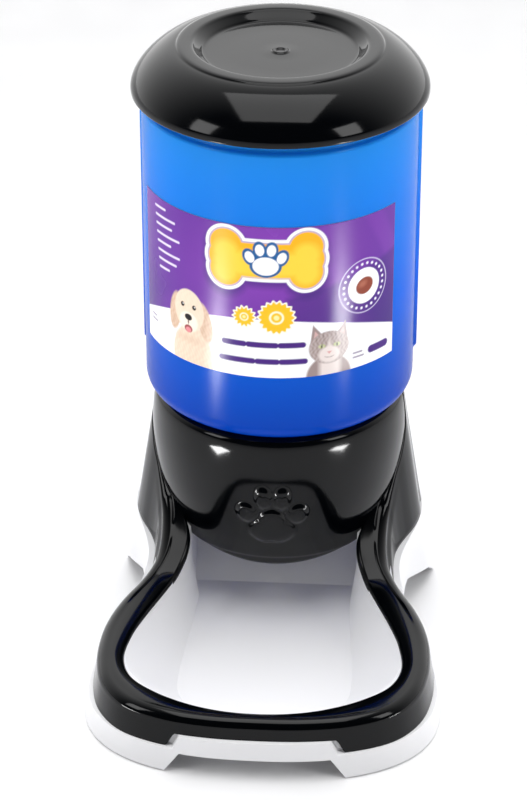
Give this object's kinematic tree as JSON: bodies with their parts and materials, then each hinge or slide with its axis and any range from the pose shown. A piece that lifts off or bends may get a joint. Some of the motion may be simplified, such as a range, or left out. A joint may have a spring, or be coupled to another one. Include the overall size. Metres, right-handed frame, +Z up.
{
  "type": "gravity pet feeder",
  "caption": "Gravity pet feeder: round translucent reservoir with a lift-off lid over a hooded chute that opens into a low bowl on a footed base.",
  "frame": {"origin": "centre of the footprint's bounding box, on the floor", "axes": "+Z up along the reservoir, -Y towards the bowl, X across the feeder, which is symmetrical about X = 0"},
  "size_m": [0.1788, 0.2755, 0.309],
  "materials": {
    "black_gloss": "polished black ABS moulding",
    "white_gloss": "glossy white moulding",
    "blue_tint": "translucent blue moulding, smooth and glossy",
    "label_print": "printed self-adhesive film, semi-gloss",
    "pad_rubber": "matt anti-slip rubber",
    "zinc_steel": "zinc plated"
  },
  "bodies": {
    "base": {"base_tray": "white_gloss", "hood_cover": "black_gloss", "front_left_foot_pad": "pad_rubber", "front_right_foot_pad": "pad_rubber", "rear_left_foot_pad": "pad_rubber", "rear_right_foot_pad": "pad_rubber", "cover_screws": "zinc_steel"},
    "tank": {"reservoir": "blue_tint", "front_label": "label_print"},
    "cap": {"lid": "black_gloss"}
  },
  "joints": [
    {"name": "reservoir_lift", "type": "slide", "parent": "base", "child": "tank", "axis": [0, 0, 1], "range_m": [0, 0.06]},
    {"name": "lid_lift", "type": "slide", "parent": "tank", "child": "cap", "axis": [0, 0, 1], "range_m": [0, 0.05]}
  ]
}
